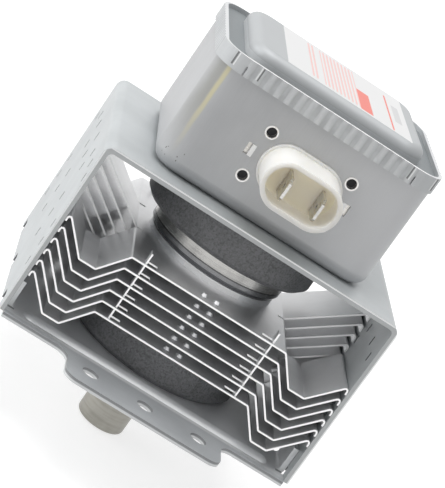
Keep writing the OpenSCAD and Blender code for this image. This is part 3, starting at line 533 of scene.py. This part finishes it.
aluminaLook = {"dark": tone(0.76, 0.70, 0.67), "light": tone(0.85, 0.81, 0.78), "clouds": 5.0, "grit": 0.35,
               "rough": 0.45, "gritRough": 0.25, "bump": 0.15, "depth": 0.0001}


def aluminaFinish(name, look):
    material, sheet = newFinish(name)
    point = sheet.place()
    clouds = sheet.noise(point, look["clouds"])
    grit = sheet.noise(point, look["grit"])
    sheet.finish({"Base Color": sheet.blend(clouds, look["dark"], look["light"]),
                  "Roughness": look["rough"] + grit * look["gritRough"],
                  "Normal": sheet.bump(grit, look["bump"], look["depth"])})
    return material


ivoryLook = {"light": tone(0.95, 0.935, 0.88), "dark": tone(0.93, 0.91, 0.85), "clouds": 8.0, "grit": 0.4,
             "rough": 0.42, "gritRough": 0.15, "ior": 1.5, "bump": 0.08, "depth": 0.0001,
             "soak": 0.004, "soakTint": (1.0, 0.95, 0.85), "paintedGlow": tone(0.06, 0.052, 0.038),
             "middle": (2.0, 72.2), "straight": 4.55, "inside": (5.55, 5.75), "mouth": (-43.2, -39.2),
             "potting": tone(0.95, 0.90, 0.79), "glow": tone(0.10, 0.085, 0.065)}


def ivoryFinish(name, look):  # light soaks through the walls, and the potting in the socket is warmer; a painted glow on the whole moulding, stronger in the potting
    material, sheet = newFinish(name)
    point = sheet.place()
    x, y, z = sheet.axes(point)
    clouds = sheet.noise(point, look["clouds"])
    grit = sheet.noise(point, look["grit"])
    aside = (abs(x - look["middle"][0]) - look["straight"]) | 0.0
    reach = (aside ** 2.0 + (z - look["middle"][1]) ** 2.0) ** 0.5
    within = (1.0 - sheet.band(reach, *look["inside"])) & sheet.band(y, *look["mouth"])
    colour = sheet.blend(clouds, look["dark"], look["light"])
    colour = sheet.blend(within, colour, look["potting"])
    sheet.finish({"Base Color": colour, "Roughness": look["rough"] + (grit - 0.5) * look["gritRough"],
                  "IOR": look["ior"], "Subsurface Weight": 1.0,
                  "Subsurface Radius": look["soakTint"], "Subsurface Scale": look["soak"],
                  # painted light: a faint glow from the whole moulding, stronger in the potting
                  "Emission Color": sheet.blend(within, look["paintedGlow"], look["glow"]),
                  "Emission Strength": 1.0,
                  "Normal": sheet.bump(grit, look["bump"], look["depth"])})
    return material


finishes = {
    "yoke_steel": yokeFinish("yokeZinc", yokeLook),
    "base_steel": baseFinish("baseZinc", baseLook),
    "box_steel": boxFinish("boxZinc", boxLook),
    "cover_steel": coverFinish("coverZinc", coverLook),
    "ferrite": ferriteFinish("ferrite", ferriteLook),
    "fin_aluminium": finFinish("finAluminium", finLook),
    "eyelet": eyeletFinish("eyelet", eyeletLook),
    "gasket_wire": gasketFinish("gasketWire", gasketLook),
    "alumina": aluminaFinish("alumina", aluminaLook),
    "ivory_plastic": ivoryFinish("ivoryPlastic", ivoryLook),
}
for finishName, tubeLook in tubeLooks.items():
    finishes[finishName] = tubeFinish(finishName, tubeLook)
print("finishes made,", len(finishes))

finishOf = {part["node"]: part["material_slot"] for part in frame["record"]["subparts"]}
finishOf.update({"anode_cylinder": "dull_plate", "upper_seal_drum": "drum", "plate_eyelets": "eyelet"})
for nodeName, node in frame["nodes"].items():
    node.data.materials.clear()
    node.data.materials.append(finishes[finishOf[nodeName]])
print("finishes set on the nodes")


# floor, light and camera: places in metres

floorLook = {"half": 4.0, "drop": 0.0004, "light": grey(0.45), "dark": grey(0.43),
             "fibre": 3.0, "rough": 0.9, "lift": grey(0.70), "noLift": grey(0.0)}


def makeFloor():  # white to the eye and in the metal, with a faint shadow left on it
    mesh = bpy.data.meshes.new("floor")
    half = floorLook["half"]
    z = cadLow.z - floorLook["drop"]
    corners = [(-half, -half, z), (half, -half, z), (half, half, z), (-half, half, z)]
    mesh.from_pydata(corners, [], [(0, 1, 2, 3)])
    floor = bpy.data.objects.new("floor", mesh)
    scene.collection.objects.link(floor)
    material, sheet = newFinish("floorPaper")
    fibre = sheet.noise(sheet.place(), floorLook["fibre"])
    sheet.finish({"Base Color": sheet.blend(fibre, floorLook["dark"], floorLook["light"]),
                  "Roughness": floorLook["rough"], "Emission Strength": 1.0,
                  "Emission Color": sheet.blend(sheet.seen(), floorLook["noLift"], floorLook["lift"])})
    mesh.materials.append(material)


makeFloor()

# each lamp has the direction that it stands in, and its power
lightLook = {"sky": grey(0.36), "background": grey(1.0), "spread": 50.0,
             "lamps": {"above": ((-0.15, 0.0, 1.0), 1.8), "left": ((-1.0, 0.0, 0.35), 1.48)}}


def makeLights():
    world = bpy.data.worlds.new("softRoom")
    scene.world = world
    world.use_nodes = True
    sheet = Sheet(world.node_tree)
    colour = sheet.blend(sheet.seen(), lightLook["sky"], lightLook["background"])
    sky = sheet.add("ShaderNodeBackground", None, {"Color": colour, "Strength": 1.0})
    sheet.add("ShaderNodeOutputWorld", None, {"Surface": sky})
    for lampName, (towards, power) in lightLook["lamps"].items():
        data = bpy.data.lights.new(lampName, "SUN")
        data.energy = power
        data.angle = math.radians(lightLook["spread"])
        lamp = bpy.data.objects.new(lampName, data)
        lamp.rotation_mode = "QUATERNION"
        lamp.rotation_quaternion = Vector(towards).to_track_quat("Z", "Y")
        scene.collection.objects.link(lamp)


makeLights()

# angles in degrees; the focal length and the frame's longer side are in pixels of the photograph
cameraLook = {"round": -10.47, "above": 15.12, "roll": 35.06, "away": 0.57216,
              "target": (0.00006, 0.0, 0.03868), "focal": 2035.04, "frame": 488.0,
              "sensor": 36.0, "near": 0.01, "far": 50.0}


def makeCamera():
    around, above, roll = (math.radians(cameraLook[key]) for key in ("round", "above", "roll"))
    level = math.cos(above)
    back = Vector((math.sin(around) * level, -math.cos(around) * level, math.sin(above)))
    right = Vector((math.cos(around), math.sin(around), 0.0))
    up = back.cross(right)
    x = right * math.cos(roll) + up * math.sin(roll)
    y = up * math.cos(roll) - right * math.sin(roll)
    data = bpy.data.cameras.new("photoCamera")
    data.sensor_width = cameraLook["sensor"]
    data.lens = cameraLook["focal"] * cameraLook["sensor"] / cameraLook["frame"]
    data.clip_start = cameraLook["near"]
    data.clip_end = cameraLook["far"]
    camera = bpy.data.objects.new("photoCamera", data)
    place = Vector(cameraLook["target"]) + back * cameraLook["away"]
    camera.matrix_world = Matrix.Translation(place) @ Matrix((x, y, back)).transposed().to_4x4()
    scene.collection.objects.link(camera)
    scene.camera = camera


makeCamera()
print("floor, light and camera set")
